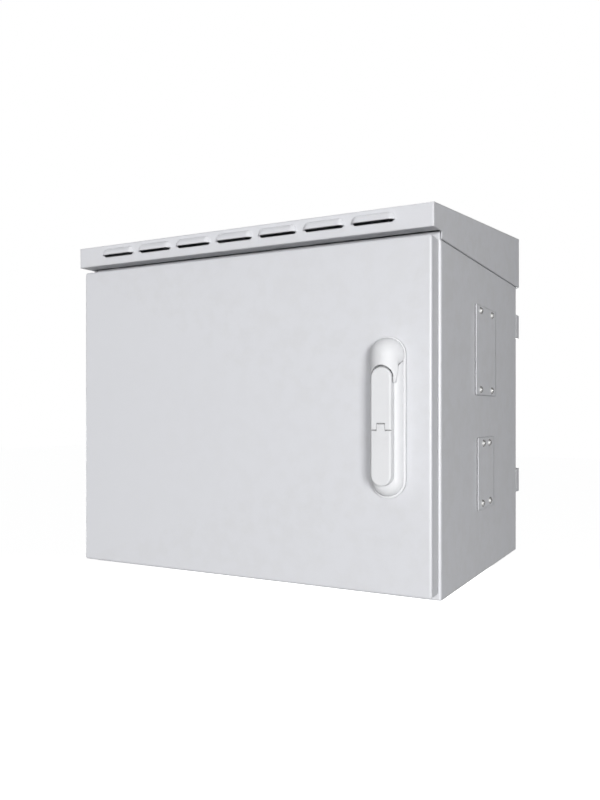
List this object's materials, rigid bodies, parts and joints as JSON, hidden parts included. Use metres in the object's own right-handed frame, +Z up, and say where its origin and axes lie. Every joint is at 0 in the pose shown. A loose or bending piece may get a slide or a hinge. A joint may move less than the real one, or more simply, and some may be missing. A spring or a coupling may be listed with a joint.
{
  "type": "outdoor utility cabinet",
  "caption": "Wall-mounted outdoor utility cabinet: sheet body under a sloped louvered canopy, hinged overlay door, swing handle driving lock rods, and a rack frame inside.",
  "frame": {"origin": "centre of the body's bottom face: midway between its sides and between its front flange and its back", "axes": "+X to the right seen from the door, +Y from the door to the wall, +Z up"},
  "size_m": [0.6086, 0.5216, 0.5665],
  "materials": {
    "enclosure_paint": "light grey powder coat, fine satin",
    "handle_paint": "off-white smooth powder coat on die-cast metal",
    "zinc_steel": "zinc plated, dull",
    "bright_metal": "nickel plated, polished",
    "die_cast": "as cast, dull",
    "seal_rubber": "matt",
    "filter_mat": "fibre mat",
    "brass": "plain"
  },
  "bodies": {
    "cabinet": {"cabinet_body": "enclosure_paint", "roof_canopy": "enclosure_paint", "side_cover_upper": "enclosure_paint", "side_cover_lower": "enclosure_paint", "wall_rail_upper": "enclosure_paint", "wall_rail_lower": "enclosure_paint", "roof_rail_left": "zinc_steel", "roof_rail_right": "zinc_steel", "hinge_arm_upper": "zinc_steel", "hinge_arm_lower": "zinc_steel", "depth_rail_upper_left": "zinc_steel", "depth_rail_lower_left": "zinc_steel", "depth_rail_upper_right": "zinc_steel", "depth_rail_lower_right": "zinc_steel", "rack_rail_left": "zinc_steel", "rack_rail_right": "zinc_steel", "filter_frame": "zinc_steel", "roof_bolts": "zinc_steel", "wall_spacers": "zinc_steel", "wall_rail_screws": "zinc_steel", "hinge_arm_screws": "zinc_steel", "rack_bolts": "zinc_steel", "filter_screws": "zinc_steel", "side_cover_screws": "bright_metal", "side_cover_gasket_upper": "seal_rubber", "side_cover_gasket_lower": "seal_rubber", "cable_grommets": "seal_rubber", "vent_filter": "filter_mat", "earth_stud": "brass"},
    "door": {"door_panel": "enclosure_paint", "door_gasket": "seal_rubber", "door_stiffener_left": "zinc_steel", "door_stiffener_right": "zinc_steel", "hinge_bracket_upper": "zinc_steel", "hinge_bracket_lower": "zinc_steel", "hinge_pin_upper": "zinc_steel", "hinge_pin_lower": "zinc_steel", "handle_base": "handle_paint", "handle_gasket": "seal_rubber", "handle_screws": "zinc_steel", "lock_case": "die_cast", "lock_case_cover": "zinc_steel", "lock_case_fixings": "zinc_steel", "rod_guide_upper": "zinc_steel", "rod_guide_lower": "zinc_steel", "lock_cylinder": "bright_metal"},
    "hub": {"handle_cowl": "handle_paint", "lever_pin": "zinc_steel", "spindle": "zinc_steel", "pinion": "zinc_steel"},
    "lever": {"handle_lever": "handle_paint"},
    "cover": {"cylinder_cover": "handle_paint"},
    "plug": {"cylinder_plug": "bright_metal", "lock_cam": "zinc_steel"},
    "rod_up": {"upper_rod": "zinc_steel"},
    "rod_down": {"lower_rod": "zinc_steel"}
  },
  "joints": [
    {"name": "door_swing", "type": "hinge", "parent": "cabinet", "child": "door", "pos_m": [-0.2892, -0.238, 0.2431], "axis": [0, 0, -1], "range_deg": [0, 120]},
    {"name": "handle_turn", "type": "hinge", "parent": "door", "child": "hub", "pos_m": [0.238, -0.25, 0.324], "axis": [0, 1, 0], "range_deg": [0, 90]},
    {"name": "lever_lift", "type": "hinge", "parent": "hub", "child": "lever", "pos_m": [0.238, -0.2694, 0.2936], "axis": [-1, 0, 0], "range_deg": [0, 30]},
    {"name": "cover_slide", "type": "slide", "parent": "lever", "child": "cover", "axis": [0, 0, -1], "range_m": [0, 0.046]},
    {"name": "cylinder_turn", "type": "hinge", "parent": "door", "child": "plug", "pos_m": [0.238, -0.25, 0.198], "axis": [0, 1, 0], "range_deg": [0, 90]},
    {"name": "rod_up_slide", "type": "slide", "parent": "door", "child": "rod_up", "axis": [0, 0, -1], "range_m": [0, 0.0165]},
    {"name": "rod_down_slide", "type": "slide", "parent": "door", "child": "rod_down", "axis": [0, 0, 1], "range_m": [0, 0.0165]}
  ],
  "couplings": [
    {"joint": "rod_up_slide", "follows": "handle_turn", "m_per_rad": 0.0105},
    {"joint": "rod_down_slide", "follows": "handle_turn", "m_per_rad": 0.0105}
  ]
}
